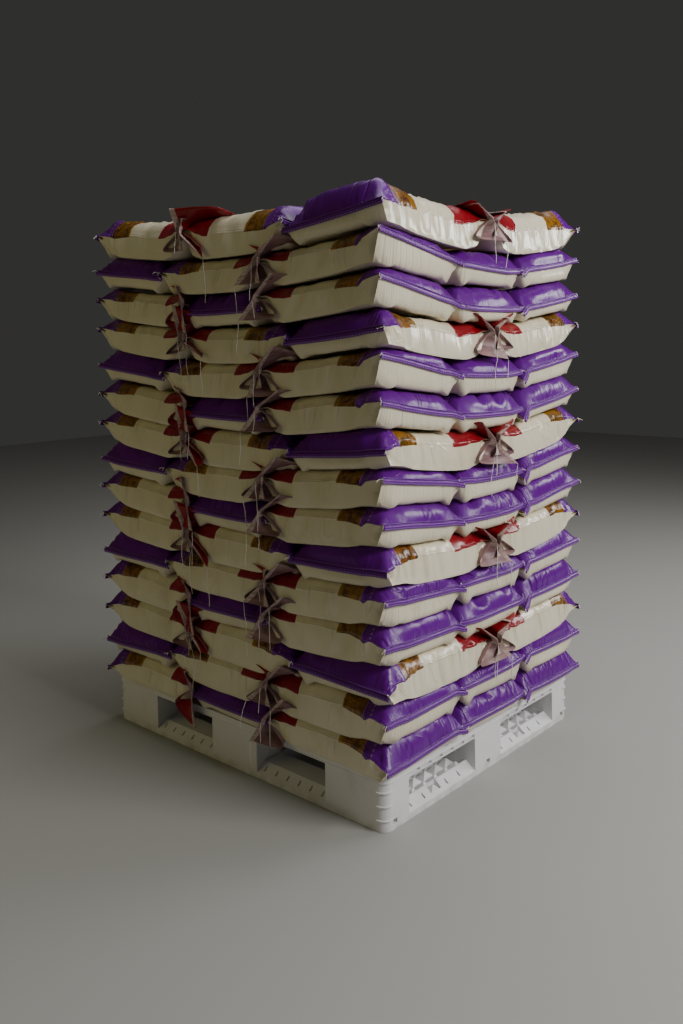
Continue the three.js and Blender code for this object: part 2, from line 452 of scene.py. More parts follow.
# Sack bodies
# A sack is a flat tube of laminated woven film with a tucked-in gusset down each side, sewn
# shut at the printed end. Grain fills it out between its neighbours and the layers above
# and below, so cloth simulation blows each sack up from flat inside walls of those sizes.

PANEL = 0.354
GUSSET = 0.062
PANEL_CELLS = 24
GUSSET_CELLS = 6
LENGTH_CELLS = 56
SEAM_DISTANCE = 0.452
SACK_WIDTH = 0.344
LAYER_PITCH = 0.1045
FILM_GAP = 0.0012
SEAM_GABLES = {"top": (0.045, 0.070), "bottom": (0.018, 0.080)}
EAR_GABLE = 0.112
NEAR_EAR_GABLE = 0.024
MOUTH_GABLES = {"top": (0.050, 0.068), "bottom": (0.042, 0.062)}
SIDE_RADIUS = 0.040
EAR_REACH = 0.004
RIPPLE = 0.0025
EDGE_RIDGE = 0.0016
WALL_DEPTH = 0.2
SACK_SPACING = 0.8
FULL_LENGTH_FRAME, LAST_FRAME = 12, 30
GIRTH = 2 * (PANEL + GUSSET)
HALF_PANEL = PANEL / 2
HALF_HEIGHT = LAYER_PITCH / 2


def around_film():
    """Where the mesh's lines lie around the tube of film: top, right gusset, bottom, left gusset."""
    runs = [
        (-HALF_PANEL, PANEL, PANEL_CELLS),
        (HALF_PANEL, GUSSET, GUSSET_CELLS),
        (HALF_PANEL + GUSSET, PANEL, PANEL_CELLS),
        (3 * HALF_PANEL + GUSSET, GUSSET, GUSSET_CELLS),
    ]
    return np.concatenate([start + size * np.arange(cells) / cells for start, size, cells in runs])


def smoothstep(value, low, high):
    """Smoothly 0 at `low` to 1 at `high`."""
    share = np.clip((value - low) / (high - low), 0, 1)
    return share * share * (3 - 2 * share)


def folded_section(v):
    """The flat tube with its gussets tucked in, as it is at a seam."""
    y = np.where(v < HALF_PANEL, v, 0.0)
    z = np.where(v < HALF_PANEL, FILM_GAP, 0.0)
    for start, side in ((HALF_PANEL, 1), (3 * HALF_PANEL + GUSSET, -1)):
        part = (v - start) / GUSSET
        here = (part >= 0) & (part < 1)
        y = np.where(here, side * (HALF_PANEL - GUSSET / 2 * (1 - np.abs(2 * part - 1))), y)
        z = np.where(here, side * FILM_GAP * (1 - 2 * part), z)
    here = (v >= HALF_PANEL + GUSSET) & (v < 3 * HALF_PANEL + GUSSET)
    y = np.where(here, 2 * HALF_PANEL + GUSSET - v, y)
    z = np.where(here, -FILM_GAP, z)
    return y, z


def filled_section(v, width, height, radius):
    """A rounded oblong that the film runs around, from the middle of its top."""
    flat, upright, arc = width / 2 - radius, height / 2 - radius, math.pi / 2 * radius
    total = 4 * (flat + upright + arc)
    travel = (v / GIRTH * total) % total
    quarter = total / 4
    y, z = np.empty_like(v), np.empty_like(v)
    for index, s in enumerate(travel):
        number = int(s // quarter)
        s -= number * quarter
        if number % 2:
            s = quarter - s
        if s < flat:
            a, b = s, height / 2
        elif s < flat + arc:
            angle = (s - flat) / radius
            a, b = flat + radius * math.sin(angle), height / 2 - radius + radius * math.cos(angle)
        else:
            a, b = width / 2, upright - (s - flat - arc)
        y[index] = a if number < 2 else -a
        z[index] = b if number in (0, 3) else -b
    return y, z


def arc_half_angle(length, chord):
    """Half the angle of the arc that has this length over this chord."""
    low, high = 1e-4, 3.1
    for _ in range(50):
        middle = (low + high) / 2
        if math.sin(middle) / middle > chord / length:
            low = middle
        else:
            high = middle
    return low


def gable_depths(v, across, gables):
    """How far in from a seam the sack has its full height, in the middle and at the ears."""
    on_gusset = np.minimum(np.abs(v), GIRTH - np.abs(v))
    topness = 1 - np.clip((on_gusset - HALF_PANEL) / GUSSET, 0, 1)
    topness = np.where((v > HALF_PANEL + GUSSET) & (v < 3 * HALF_PANEL + GUSSET), 0.0, topness)
    earness = smoothstep(np.abs(across), 0.55, 0.97)
    depths = [gables[part][0] + (gables[part][1] - gables[part][0]) * earness for part in ("top", "bottom")]
    return topness * depths[0] + (1 - topness) * depths[1], earness


def unfilled_sack(kind):
    """The sack's first shape, its flat film at true length bent between the seams, and noise."""
    random = np.random.default_rng(kind["seed"])
    film_length = kind["film"]
    v = around_film()
    y_flat, z_flat = folded_section(v)
    y_full, z_full = filled_section(v, SACK_WIDTH * 0.985, LAYER_PITCH * 0.93, SIDE_RADIUS)
    across = y_flat / HALF_PANEL
    seam_gable, earness = gable_depths(v, across, SEAM_GABLES)
    mouth_gable, _ = gable_depths(v, across, MOUTH_GABLES)
    start = np.zeros((LENGTH_CELLS + 1, len(v), 3))
    film = np.zeros_like(start)
    half = arc_half_angle(film_length, SEAM_DISTANCE)
    radius = film_length / (2 * half)
    bow = random.normal(-0.001, 0.001, 2)
    tilt = random.normal(0, 0.002, 2)
    for step in range(LENGTH_CELLS + 1):
        share = step / LENGTH_CELLS
        end = 0 if share < 0.5 else 1
        inward = min(share, 1 - share) * SEAM_DISTANCE
        reach = np.minimum(1, inward / (mouth_gable if end else seam_gable))
        eased = np.sin(reach * math.pi / 2)
        fill = eased + (reach - eased) * earness
        start[step, :, 0] = share * SEAM_DISTANCE
        start[step, :, 0] += (1 - fill) * (2 * end - 1) * EAR_REACH * np.abs(across) ** 3
        start[step, :, 1] = y_flat + (y_full - y_flat) * fill
        start[step, :, 2] = z_flat + (z_full - z_flat) * fill
        start[step, :, 2] += (1 - fill) * (bow[end] * (1 - across**2) + tilt[end] * across)
        angle = half * (2 * share - 1)
        film[step, :, 0] = SEAM_DISTANCE / 2 + (radius + z_flat) * math.sin(angle)
        film[step, :, 1] = y_flat
        film[step, :, 2] = (radius + z_flat) * math.cos(angle) - radius * math.cos(half)
    film[0], film[-1] = start[0], start[-1]
    ripple = random.normal(0, 1, start.shape[:2])
    for _ in range(8):
        ripple = (np.roll(ripple, 1, 1) + np.roll(ripple, -1, 1)) / 2
    ripple *= RIPPLE / ripple.std()
    outward = np.stack([np.zeros_like(v), y_full / 0.17, z_full / 0.05], axis=1)
    outward /= np.linalg.norm(outward, axis=1)[:, None]
    noise = ripple[..., None] * outward
    noise[:4] = noise[-4:] = 0
    return start, film, noise


def tube_faces(rows, around):
    """The quads of a tube whose points are given ring by ring."""
    faces = []
    for low in range(0, (rows - 1) * around, around):
        for i in range(around):
            j = (i + 1) % around
            faces.append((low + i, low + around + i, low + around + j, low + j))
    return faces


def press_wall(group, low, high):
    """One side of the box that a sack is filled in: a plate that the cloth runs up against."""
    wall = shells_object("wall", [box_shell(low, high)])
    group.objects.link(wall)
    wall.modifiers.new("hit", "COLLISION")
    wall.collision.thickness_outer = 0.0015
    wall.collision.thickness_inner = 0.05
    wall.collision.cloth_friction = 5
    return wall


def pressed_between(kind, at):
    """The walls round one sack: above, below, at its two sides and past its two ends."""
    group = bpy.data.collections.new("press")
    low, high = at - 0.3, at + 0.3
    walls = [
        press_wall(group, (-0.2, low, HALF_HEIGHT), (0.66, high, HALF_HEIGHT + WALL_DEPTH)),
        press_wall(group, (-0.2, low, -HALF_HEIGHT - WALL_DEPTH), (0.66, high, -HALF_HEIGHT)),
    ]
    reach = 0.98 * HALF_HEIGHT
    for side in (-1, 1):
        near_wall = side * (SACK_WIDTH / 2 + (0.0 if side in kind["pressed_sides"] else 0.003))
        low, high = sorted((near_wall, near_wall + side * WALL_DEPTH))
        walls.append(press_wall(group, (0.06, at + low, -reach), (SEAM_DISTANCE - 0.06, at + high, reach)))
    for low, high in ((-WALL_DEPTH, -0.003), (SEAM_DISTANCE + 0.003, SEAM_DISTANCE + WALL_DEPTH)):
        walls.append(press_wall(group, (low, at - 0.14, -reach), (high, at + 0.14, reach)))
    return group, walls


def unfilled_object(start, film, noise, shift):
    """The sack as cloth, with its ends shut, that grows to its film's true length as it fills."""
    rows, around = start.shape[:2]
    faces = tube_faces(rows, around)
    faces.append(tuple(range(around)))
    faces.append(tuple(range((rows - 1) * around, rows * around))[::-1])
    mesh = bpy.data.meshes.new("filling")
    mesh.from_pydata((start + noise + shift).reshape(-1, 3), [], faces)
    sack = bpy.data.objects.new("filling", mesh)
    bpy.context.scene.collection.objects.link(sack)
    sack.shape_key_add(name="Basis")
    true_length = sack.shape_key_add(name="true length")
    true_length.data.foreach_set("co", (film + shift).ravel())
    for value, frame_number in ((0.0, 1), (1.0, FULL_LENGTH_FRAME)):
        true_length.value = value
        true_length.keyframe_insert("value", frame=frame_number)
    seams = sack.vertex_groups.new(name="seams")
    seams.add(list(range(around)) + list(range((rows - 1) * around, rows * around)), 1.0, "REPLACE")
    return sack


def make_cloth(sack, kind, group):
    """Gives a sack the stiffness of woven film, its filling's pressure and the walls around it."""
    cloth = sack.modifiers.new("fill", "CLOTH")
    settings = cloth.settings
    settings.use_dynamic_mesh = True
    settings.vertex_group_mass = "seams"
    settings.quality = 9
    settings.mass = 0.0006
    settings.tension_stiffness = 30
    settings.compression_stiffness = 6
    settings.shear_stiffness = 5
    settings.bending_stiffness = kind["bending"]
    settings.tension_damping = settings.compression_damping = settings.shear_damping = 3
    settings.bending_damping = 0.1
    settings.air_damping = 1
    settings.use_pressure = True
    settings.uniform_pressure_force = kind["pressure"]
    settings.effector_weights.gravity = 0
    contact = cloth.collision_settings
    contact.distance_min = 0.0015
    contact.collision_quality = 6
    contact.collection = group


def fill_sacks(kinds):
    """Blows up one sack of each kind, all at once and side by side, and gives back their grids."""
    scene = bpy.context.scene
    jobs = []
    for number, kind in enumerate(kinds):
        start, film, noise = unfilled_sack(kind)
        shift = np.array([0.0, number * SACK_SPACING, 0.0])
        sack = unfilled_object(start, film, noise, shift)
        group, walls = pressed_between(kind, shift[1])
        make_cloth(sack, kind, group)
        jobs.append((sack, walls, shift, start))
    for frame_number in range(1, LAST_FRAME + 1):
        scene.frame_set(frame_number)
    graph = bpy.context.evaluated_depsgraph_get()
    grids = []
    for sack, walls, shift, start in jobs:
        points = np.empty(start.size)
        sack.evaluated_get(graph).data.vertices.foreach_get("co", points)
        grids.append(points.reshape(start.shape) - shift)
        for used in [sack] + walls:
            bpy.data.objects.remove(used)
    scene.frame_set(1)
    return grids


def ear_shape(v, inward, gable):
    """The film by an ear: a slope with a hip above, and the gusset as a flat triangle below."""
    v, inward = np.meshgrid(v, inward)
    below = v - 2 * HALF_PANEL - GUSSET
    on_top, on_bottom = v < HALF_PANEL, np.abs(below) <= HALF_PANEL
    side = np.where(on_top, np.sign(v), np.where(below < 0, 1, -1))
    inset = np.where(on_top, HALF_PANEL - np.abs(v), np.where(on_bottom, HALF_PANEL - np.abs(below), 0))
    down = np.where(below < 0, (v - HALF_PANEL) / GUSSET, 1 - (v - 3 * HALF_PANEL - GUSSET) / GUSSET)
    settled = np.clip(inward / 0.05, 0, 1)
    upper_edge = 0.006 * settled
    lower_edge = HALF_HEIGHT * np.clip(inward / gable, 0, 1)
    top_rise = np.clip(inward / SEAM_GABLES["top"][0], 0, 1)
    bottom_rise = np.clip(inward / SEAM_GABLES["bottom"][0], 0, 1)
    roof = np.minimum(HALF_HEIGHT * top_rise, upper_edge + HALF_HEIGHT * inset / 0.060)
    keel = np.minimum(HALF_HEIGHT * bottom_rise, lower_edge + HALF_HEIGHT * inset / 0.055)
    z = np.where(on_top, roof, np.where(on_bottom, -keel, upper_edge - (upper_edge + lower_edge) * down))
    z += np.where(on_top, FILM_GAP, np.where(on_bottom, -FILM_GAP, FILM_GAP * (1 - 2 * down))) * (1 - settled)
    tuck = GUSSET / 2 * (1 - np.clip(inward / 0.035, 0, 1)) * (1 - np.abs(2 * down - 1))
    reach = HALF_PANEL - EAR_REACH * settled - np.where(on_top, inset * (1 - 0.2 * settled), inset)
    y = side * (reach - np.where(on_top | on_bottom, 0, tuck))
    weight = 1 - np.where(on_top, smoothstep(inward, 0.060, 0.105), smoothstep(inward, 0.100, 0.140))
    weight = weight * (1 - smoothstep(inset, 0.040, 0.085))
    return np.stack([inward, y, z], axis=2), weight[..., None]


def settle_film(grid, start):
    """Takes the mesh-sized noise out of a filled sack, and lays its ears in their folds."""
    around = (np.roll(grid, 1, 1) + np.roll(grid, -1, 1))[1:-1] / 2
    along = (grid[:-2] + grid[2:]) / 2
    grid[1:-1] += 0.5 * ((around + along) / 2 - grid[1:-1])
    v = around_film()
    from_seam = np.arange(len(grid)) / LENGTH_CELLS * SEAM_DISTANCE
    from_mouth = SEAM_DISTANCE - from_seam
    gusset_middles = (HALF_PANEL + GUSSET / 2, 3 * HALF_PANEL + 1.5 * GUSSET, -HALF_PANEL - GUSSET / 2)
    aside = np.min([np.abs(v - middle) for middle in gusset_middles], axis=0)
    ear = (1 - smoothstep(from_mouth, 0.078, 0.108))[:, None] * (1 - smoothstep(aside, 0.034, 0.070))[None, :]
    grid += (start - grid) * ear[..., None]
    for edge in (0, PANEL_CELLS, PANEL_CELLS + GUSSET_CELLS, 2 * PANEL_CELLS + GUSSET_CELLS):
        outward = grid[:, edge].copy()
        outward[:, 0] = 0
        outward /= np.linalg.norm(outward, axis=1)[:, None] + 1e-9
        ridge = smoothstep(np.minimum(from_seam, from_mouth), 0.02, 0.06)[:, None] * EDGE_RIDGE
        grid[:, edge] = grid[:, edge] + outward * ridge
    shape, weight = ear_shape(v, from_seam, EAR_GABLE)
    grid += (shape - grid) * weight
    grid[..., 2] = np.clip(grid[..., 2], -HALF_HEIGHT, HALF_HEIGHT)
    return grid


# Two kinds for sacks that lie between two others, and six for those with one side open
sack_kinds = [
    {"film": 0.524, "seed": 11, "pressed_sides": (-1, 1), "pressure": 20, "bending": 0.02},
    {"film": 0.532, "seed": 12, "pressed_sides": (-1, 1), "pressure": 18, "bending": 0.02},
    {"film": 0.526, "seed": 13, "pressed_sides": (1,), "pressure": 20, "bending": 0.02},
    {"film": 0.544, "seed": 14, "pressed_sides": (1,), "pressure": 18, "bending": 0.02},
    {"film": 0.536, "seed": 15, "pressed_sides": (1,), "pressure": 22, "bending": 0.04},
    {"film": 0.552, "seed": 16, "pressed_sides": (1,), "pressure": 18, "bending": 0.02},
    {"film": 0.540, "seed": 17, "pressed_sides": (1,), "pressure": 26, "bending": 0.02},
    {"film": 0.530, "seed": 18, "pressed_sides": (1,), "pressure": 16, "bending": 0.03},
]
first_shapes = [unfilled_sack(kind)[0] for kind in sack_kinds]
filled_shapes = fill_sacks(sack_kinds)
sack_shapes = [settle_film(filled, first) for filled, first in zip(filled_shapes, first_shapes)]

# Stack
# Fifteen layers of eight sacks: rows of three end to end and a column of two across them,
# which stands in the middle, at -X and at +X by turns. The load has settled most in its
# middle, so each layer hangs lower between its four corners.

LAYERS = 15
COLUMN_ORDER = (0, -1, 1)
DIRECTIONS = [(1, 0), (0, 1), (-1, 0), (0, -1)]
ROW_LENGTH = 0.453
HALF_X = ROW_LENGTH + SACK_WIDTH / 2
HALF_Y = 1.5 * SACK_WIDTH
SETTLE_DROP = 0.050
SETTLE_HEIGHT = 0.900
LEVEL_REACH = 1.3
LIFT_SOFTNESS = 12.0
MOUTH_STRETCH = 0.042
TOP_CROWN = 0.038
TOP_MOUTH_LIFT = 0.010
MOUTH_RISE = 0.020
SEAM_LEVEL = 0.007
CORNER_SQUARENESS = 0.6
OVERHANG_SAG = (0.022, 0.011)
PANEL_EDGE_DROP = 0.028
HEM_PAST_EAR = 0.003


def settling(x, y, z):
    """How far a point of the stack stands below its unsettled height."""
    reach = np.abs(x) / HALF_X + np.abs(y) / HALF_Y
    lift = np.logaddexp(0, LIFT_SOFTNESS * (reach - LEVEL_REACH)) / (LIFT_SOFTNESS * (2 - LEVEL_REACH))
    drop = SETTLE_DROP * np.clip((z - PALLET_HEIGHT) / SETTLE_HEIGHT, 0, 1)
    return drop * (1 - np.minimum(lift, 1.15))


def sack_places(column, random):
    """Each sack of a layer: its printed end, its direction, its open side and how its ears lie."""
    centre = column * ROW_LENGTH
    near, far = centre - SACK_WIDTH / 2, centre + SACK_WIDTH / 2
    places = []
    for row in (-1, 0, 1):
        y = row * SACK_WIDTH
        starts = []
        if near > -HALF_X + 0.01:
            starts.append((-HALF_X, 0))
        if far < HALF_X - 0.01:
            starts.append((HALF_X, 2))
        if column > 0:
            starts.append((near, 2))
        if column < 0:
            starts.append((far, 0))
        for x, quarter in starts:
            turn = 1 if quarter == 0 else -1
            ears = {}
            for side in (-1, 1):
                if row == 0:
                    ears[side] = (-0.005, 0.0, 0.006)
                elif side * turn == -row:
                    deep = (0.004, 0.012) if row < 0 else (0.014, 0.034)
                    ears[side] = (0.006, random.uniform(*deep), 0.0)
            place = {"at": (x, y), "quarter": quarter, "crosswise": False}
            place.update({"open_side": row * turn, "ears": ears})
            places.append(place)
    for y, quarter in ((-HALF_Y, 1), (HALF_Y, 3)):
        place = {"at": (centre, y), "quarter": quarter, "crosswise": True}
        place.update({"open_side": -column if quarter == 1 else column, "ears": {}})
        places.append(place)
    return places


class Sewing:
    """Gathers the quads of one layer, with the place in the flat film of each face's corners."""

    def __init__(self):
        self.points, self.faces, self.film, self.materials, self.creases = [], [], [], [], []
        self.count = 0

    def add(self, points, faces, film, material, creases=None):
        """`faces` holds rows of indices, and `film` one row of three values for each corner.

        `creases` gives the points of one crease the same number, and 0 to all others.
        """
        self.points.append(np.asarray(points).reshape(-1, 3))
        self.creases.append(np.zeros(len(self.points[-1]), int) if creases is None else creases.ravel())
        self.faces += [[int(i) + self.count for i in face] for face in faces]
        self.film.append(np.asarray(film).reshape(-1, 3))
        self.materials += [material] * len(faces)
        self.count += len(self.points[-1])

    def piece(self, name, materials):
        """The layer's mesh, with its creases sharp."""
        mesh = bpy.data.meshes.new(name)
        mesh.from_pydata(np.concatenate(self.points), [], self.faces)
        film = mesh.attributes.new("film", "FLOAT_VECTOR", "CORNER")
        film.data.foreach_set("vector", np.concatenate(self.film).astype(np.float32).ravel())
        mesh.polygons.foreach_set("material_index", np.array(self.materials, dtype=np.int32))
        mesh.polygons.foreach_set("use_smooth", np.ones(len(self.faces), dtype=bool))
        for material in materials:
            mesh.materials.append(material)
        ends = np.empty(2 * len(mesh.edges), dtype=np.int32)
        mesh.edges.foreach_get("vertices", ends)
        first, second = np.concatenate(self.creases)[ends.reshape(-1, 2)].T
        sharp = mesh.attributes.new("sharp_edge", "BOOLEAN", "EDGE")
        sharp.data.foreach_set("value", (first > 0) & (first == second))
        mesh.update()
        piece = bpy.data.objects.new(name, mesh)
        bpy.context.scene.collection.objects.link(piece)
        return piece


def sheet_quads(rows, columns):
    """The quads of a sheet whose points are given row by row."""
    k, i = np.meshgrid(np.arange(rows - 1), np.arange(columns - 1), indexing="ij")
    first = (k * columns + i).ravel()
    return np.stack([first, first + columns, first + columns + 1, first + 1], axis=1)


def place_points(points, place, layer):
    """From a sack's own frame to its place in the settled stack."""
    x, y, z = points[..., 0], points[..., 1], points[..., 2]
    c, s = DIRECTIONS[place["quarter"]]
    world = np.empty_like(points)
    world[..., 0] = place["at"][0] + c * x - s * y
    world[..., 1] = place["at"][1] + s * x + c * y
    world[..., 2] = PALLET_HEIGHT + (layer + 0.5) * LAYER_PITCH + z
    world[..., 2] -= settling(world[..., 0], world[..., 1], world[..., 2] - z)
    return world


def seam_lift(x, y, layer, crosswise):
    """How far a seam's end stands above the middle of its layer: high up the stack, low down it."""
    height = layer / (LAYERS - 1)
    reach = abs(x) / HALF_X + abs(y) / HALF_Y
    corner = min(max((reach - LEVEL_REACH) / (2 - LEVEL_REACH), 0), 1)
    lift = corner * (-0.020 + 0.028 * height) + (1 - corner) * (-0.006 - 0.004 * height)
    if crosswise:
        return lift - 0.014 * corner
    lift += (-0.004, 0.010, 0.0)[layer % 3]
    return lift - (0.016 * height * y / HALF_Y if x > 0 else 0)


def calm_side(grid, side):
    """Takes the filling's regular ripples out of the side that stands open."""
    v = around_film()
    middle = HALF_PANEL + GUSSET / 2
    if grid[len(grid) // 2, PANEL_CELLS, 1] * side < 0:
        middle = 3 * HALF_PANEL + 1.5 * GUSSET
    aside = np.minimum(np.abs(v - middle), np.abs(v - middle + GIRTH))
    inward = np.linspace(0, SEAM_DISTANCE, len(grid))
    along = smoothstep(inward, 0.07, 0.11) * (1 - smoothstep(inward, 0.37, 0.42))
    calm = grid[..., 1:].copy()
    for _ in range(22):
        calm[2:-2] = (calm[1:-3] + 2 * calm[2:-2] + calm[3:-1]) / 4
    weight = along[:, None] * (1 - smoothstep(aside, 0.040, 0.105))[None, :]
    grid[..., 1:] += (calm - grid[..., 1:]) * weight[..., None]


def fold_gusset(grid, side, deep, pitch, wide, random):
    """Presses tapering folds into the gusset on one side, from its upper edge down."""
    top_right_is_here = grid[len(grid) // 2, PANEL_CELLS, 1] * side > 0
    first = PANEL_CELLS if top_right_is_here else 2 * PANEL_CELLS + GUSSET_CELLS
    columns = [(first + step) % grid.shape[1] for step in range(GUSSET_CELLS + 1)]
    if not top_right_is_here:
        columns = columns[::-1]
    inward = grid[:, columns, 0]
    down = np.linspace(0, 1, GUSSET_CELLS + 1)
    at = 0.05
    while at < SEAM_DISTANCE - 0.04:
        slant, width = random.normal(0, 1.5 * wide[0]), random.uniform(*wide)
        depth, reach = random.uniform(*deep), random.uniform(0.5, 1.3)
        away = np.abs(inward - at - slant * down)
        press = depth * np.clip(1 - away / width, 0, 1) * np.clip(1 - down / reach, 0, 1) ** 0.6
        grid[:, columns, 1] -= side * press
        at += random.uniform(*pitch)


def crease_slope(grid, count, deep, random):
    """Dents the slope above the seam with creases that run up from it."""
    inward, y, z = grid[..., 0].copy(), grid[..., 1].copy(), grid[..., 2].copy()
    for _ in range(count):
        centre = random.uniform(-0.13, 0.13)
        slant, width = random.normal(0, 0.4), random.uniform(0.014, 0.021)
        away = np.abs(y - centre - slant * inward)
        dent = np.clip(1 - away / width, 0, 1) * smoothstep(inward, 0.002, 0.018)
        dent *= (1 - smoothstep(inward, 0.05, 0.085)) * (z > 0) * random.uniform(*deep)
        grid[..., 0] += 0.6 * dent
        grid[..., 2] -= 0.8 * dent


def seam_ends(place):
    """Where the two ends of a sack's seam stand in the stack, the one at the sack's own -Y first."""
    x, y = place["at"]
    c, s = DIRECTIONS[place["quarter"]]
    return [(x - s * side * HALF_PANEL, y + c * side * HALF_PANEL) for side in (-1, 1)]


def draw_in_near_ears(grid, ends):
    """Gives the ears at the stack's near corner a shorter fold under the seam."""
    for side, (x, y) in zip((-1, 1), ends):
        if x > 0.4 and y < -0.4:
            from_seam = np.linspace(0, SEAM_DISTANCE, len(grid))
            shape, weight = ear_shape(around_film(), from_seam, NEAR_EAR_GABLE)
            shape[..., 1] *= np.sign(grid[len(grid) // 2, PANEL_CELLS, 1])
            grid += (shape - grid) * weight * (side * shape[..., 1:2] > 0.08)


def square_lower_edge(grid, axis, sense, inset, reach, weight, least):
    """Pushes the film out to the lower edge of one side, which stands nearly square."""
    out = np.clip((reach - inset) / reach, 0, 1)
    below = np.clip((-grid[..., 2] - SEAM_LEVEL) / (HALF_HEIGHT - SEAM_LEVEL), 0, 1)
    weight = weight * (out > 0)
    grid[..., axis] += sense * weight * reach * (out**CORNER_SQUARENESS - out) * (below > least)
    grid[..., 2] -= weight * (HALF_HEIGHT - SEAM_LEVEL) * (below**CORNER_SQUARENESS - below)


def shape_for_place(grid, place, layer, random):
    """Bends one of the filled shapes to its place: its seam's height, its ears and its mouth."""
    side, crosswise = place["open_side"], place["crosswise"]
    height, on_top = layer / (LAYERS - 1), layer == LAYERS - 1
    ends = seam_ends(place)
    draw_in_near_ears(grid, ends)
    inward, y, z = grid[..., 0].copy(), grid[..., 1], grid[..., 2]
    across = np.clip(y / HALF_PANEL, -1.05, 1.05)
    lifts = [seam_lift(*end, layer, crosswise) + random.normal(0, 0.002) for end in ends]

    # The open side: its upper edge slides down, and its lower edge stands square
    near_face = 1 - smoothstep(inward, 0.0, 0.065)
    if side:
        inset = SACK_WIDTH / 2 + 0.004 - side * y
        before_mouth = 1 - smoothstep(inward, 0.38, 0.44)
        slide = smoothstep(inward, 0.060, 0.105) * before_mouth * (1 - smoothstep(inset, 0.03, 0.10))
        grid[..., 2] -= slide * PANEL_EDGE_DROP * np.clip(1 - (z / HALF_HEIGHT) ** 2, 0, 1)
        square_lower_edge(grid, 1, side, inset, 0.045, smoothstep(inward, 0.03, 0.08) * before_mouth, 0)
        near_face = np.maximum(near_face, 1 - smoothstep(inset, 0.0, 0.065))
    square_lower_edge(grid, 0, -1, inward, 0.030, 1 - smoothstep(np.abs(across), 0.70, 0.95), 0.02)

    # Sag over the layer below, and the height of the seam and the mouth
    if layer:
        sag = OVERHANG_SAG[0] + (OVERHANG_SAG[1] - OVERHANG_SAG[0]) * height
        by_ear = smoothstep(np.abs(across), 0.75, 0.98) * (1 - smoothstep(inward, 0.08, 0.14))
        grid[..., 2] -= sag * near_face * (1 - 0.8 * by_ear) * np.clip(-grid[..., 2] / HALF_HEIGHT, 0, 1)
    lift = (lifts[0] + lifts[1]) / 2 + (lifts[1] - lifts[0]) / 2 * across
    room = np.clip(1 - np.abs(z) / HALF_HEIGHT, 0, 1)
    grid[..., 2] += lift * room * (1 - smoothstep(inward, 0.0, 0.11))
    mouth_lift = random.normal(0.001, 0.003) + MOUTH_RISE * height + (TOP_MOUTH_LIFT if on_top else 0.0)
    grid[..., 2] += mouth_lift * room * smoothstep(inward, 0.34, SEAM_DISTANCE)

    # Folds pressed into the film, short and deep where a sack lies crosswise
    if side:
        calm_side(grid, side)
        if crosswise:
            fold_gusset(grid, side, (0.005, 0.013), (0.022, 0.066), (0.010, 0.017), random)
        else:
            fold_gusset(grid, side, (0.002, 0.006), (0.070, 0.160), (0.026, 0.042), random)
        crease_slope(grid, 2, (0.003, 0.007), random)
    else:
        crease_slope(grid, 5, (0.007, 0.016), random)
    near_seam = 1 - smoothstep(inward, 0.0, 0.055)
    for ear_side, (out, droop, pull) in place["ears"].items():
        ear = smoothstep(ear_side * across, 0.78, 1.0) * near_seam
        grid[..., 0] -= out * ear
        grid[..., 1] -= ear_side * pull * ear
        grid[..., 2] -= droop * ear
    if crosswise:
        grid[..., 0] += MOUTH_STRETCH * smoothstep(inward, 0.22, 0.44)
    if on_top:
        middle = np.clip(1 - (inward / SEAM_DISTANCE * 2 - 1) ** 8, 0, 1)
        crown = middle * np.clip(1 - np.abs(across) ** 3, 0, 1)
        grid[..., 2] += TOP_CROWN * crown * np.clip(z / HALF_HEIGHT, 0, 1)
    return grid


FILM, REVERSE, TAPE, THREAD = range(4)


def add_body(sewing, grid, steps, film_length, mirrored, number, place, layer):
    """The filled tube of film, with its four gusset edges creased; gives back its points."""
    rows, around = grid.shape[:2]
    v = np.append(around_film(), GIRTH - HALF_PANEL)
    left_gusset = 2 * PANEL_CELLS + GUSSET_CELLS
    u = steps / LENGTH_CELLS * film_length
    points = place_points(grid, place, layer)
    faces, film = [], []
    for i in range(around):
        fold = GIRTH if i >= left_gusset else 0
        v_low, v_high = v[i] - fold, v[i + 1] - fold
        k = np.arange(rows - 1)
        j = (i + 1) % around
        quad = np.stack([k * around + i, (k + 1) * around + i, (k + 1) * around + j, k * around + j], axis=1)
        corner_u = np.stack([u[:-1], u[1:], u[1:], u[:-1]], axis=1)
        corner_v = np.tile([v_low, v_low, v_high, v_high], (rows - 1, 1))
        if mirrored:
            quad, corner_u, corner_v = quad[:, ::-1], corner_u[:, ::-1], corner_v[:, ::-1]
        faces.append(quad)
        film.append(np.stack([corner_u, corner_v, np.full_like(corner_u, number)], axis=2))
    creases = np.zeros((rows, around), int)
    for column in (0, PANEL_CELLS, PANEL_CELLS + GUSSET_CELLS, left_gusset):
        creases[:, column] = sewing.count + column + 1
    sewing.add(points, np.concatenate(faces), np.concatenate(film), FILM, creases)
    return points


def add_ends(sewing, points, film_length, mirrored, number):
    """Closes the tube at its seams, where its two panels lie flat on the folded gussets."""
    top = np.arange(PANEL_CELLS + 1)
    bottom = 2 * PANEL_CELLS + GUSSET_CELLS - np.arange(PANEL_CELLS + 1)
    around = 2 * (PANEL_CELLS + GUSSET_CELLS)
    for row, u in ((0, 0.0), (-1, film_length)):
        ring = points[row]
        quads = [(top[i], top[i + 1], bottom[i + 1], bottom[i]) for i in range(PANEL_CELLS)]
        gussets = [
            list(range(PANEL_CELLS, PANEL_CELLS + GUSSET_CELLS + 1)),
            list(range(2 * PANEL_CELLS + GUSSET_CELLS, around)) + [0],
        ]
        faces = [list(face) for face in quads] + gussets
        if (row == 0) == mirrored:
            faces = [face[::-1] for face in faces]
        film = [(u, 0.0, number) for face in faces for _ in face]
        sewing.add(ring, faces, film, FILM)


